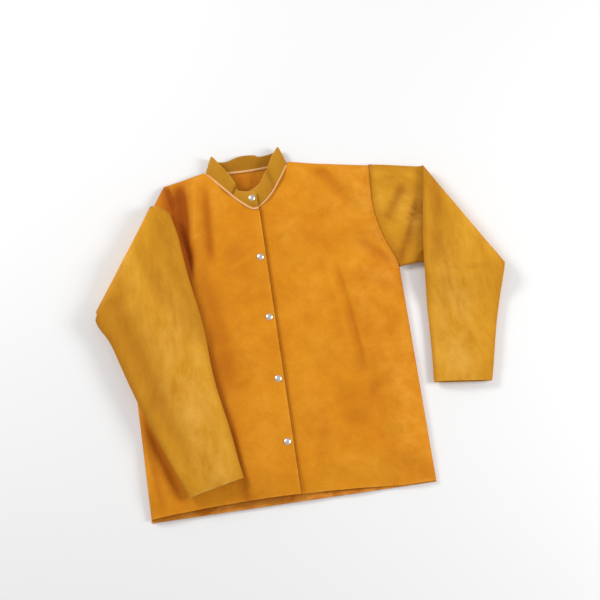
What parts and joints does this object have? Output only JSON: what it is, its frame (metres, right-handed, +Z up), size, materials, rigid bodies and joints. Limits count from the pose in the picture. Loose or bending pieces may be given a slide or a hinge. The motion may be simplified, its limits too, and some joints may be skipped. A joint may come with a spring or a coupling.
{
  "type": "leather welding jacket",
  "caption": "Long-sleeved leather welding jacket with a stand collar and a snap-fastened lapped front, lying on its back with both sleeves folded over.",
  "frame": {"origin": "middle of the underside of the whole jacket as it lies, on the surface it rests on", "axes": "+X towards the wearer's left sleeve, +Y towards the collar, +Z up from the back to the front"},
  "size_m": [0.8658, 0.761, 0.0423],
  "materials": {
    "body_leather": "matte split-leather suede",
    "sleeve_leather": "matte split-leather suede",
    "collar_leather": "matte split-leather suede",
    "facing": "matte",
    "binding": "matte",
    "snap_metal": "polished nickel"
  },
  "bodies": {
    "jacket_body": {"back_panel": "body_leather", "right_front_panel": "body_leather", "left_front_panel": "body_leather", "collar_band": "collar_leather", "neck_binding_right_side": "binding", "neck_binding_left_side": "binding", "neck_tape_back": "binding", "right_sleeve_upper": "sleeve_leather", "left_sleeve_upper": "sleeve_leather"},
    "right_forearm": {"right_sleeve_lower": "sleeve_leather"},
    "left_forearm": {"left_sleeve_lower": "sleeve_leather"},
    "right_flap": {"right_front_flap": "body_leather", "right_front_facing": "facing", "collar_right_end": "collar_leather", "neck_binding_right": "binding", "snap_cap_1": "snap_metal", "snap_cap_2": "snap_metal", "snap_cap_3": "snap_metal", "snap_cap_4": "snap_metal", "snap_cap_5": "snap_metal", "snap_socket_1": "snap_metal", "snap_socket_2": "snap_metal", "snap_socket_3": "snap_metal", "snap_socket_4": "snap_metal", "snap_socket_5": "snap_metal"},
    "left_flap": {"left_front_flap": "body_leather", "left_front_facing": "facing", "collar_left_end": "collar_leather", "neck_binding_left": "binding", "snap_stud_1": "snap_metal", "snap_stud_2": "snap_metal", "snap_stud_3": "snap_metal", "snap_stud_4": "snap_metal", "snap_stud_5": "snap_metal", "snap_post_1": "snap_metal", "snap_post_2": "snap_metal", "snap_post_3": "snap_metal", "snap_post_4": "snap_metal", "snap_post_5": "snap_metal"}
  },
  "joints": [
    {"name": "right_sleeve_fold", "type": "hinge", "parent": "jacket_body", "child": "right_forearm", "pos_m": [-0.3475, 0.1995, 0.0252], "axis": [-0.5466, -0.8374, 0], "range_deg": [0, 180]},
    {"name": "left_sleeve_fold", "type": "hinge", "parent": "jacket_body", "child": "left_forearm", "pos_m": [0.3655, 0.1725, 0.0206], "axis": [-0.4903, 0.8716, 0], "range_deg": [0, 180]},
    {"name": "right_front_open", "type": "hinge", "parent": "jacket_body", "child": "right_flap", "pos_m": [-0.154, -0.3805, 0.0258], "axis": [-0.0479, -0.9989, 0], "range_deg": [0, 110]},
    {"name": "left_front_open", "type": "hinge", "parent": "jacket_body", "child": "left_flap", "pos_m": [0.006, -0.3805, 0.0188], "axis": [-0.0339, 0.9994, 0], "range_deg": [0, 33]}
  ],
  "couplings": [
    {"joint": "left_front_open", "follows": "right_front_open", "ratio": 0.3}
  ]
}
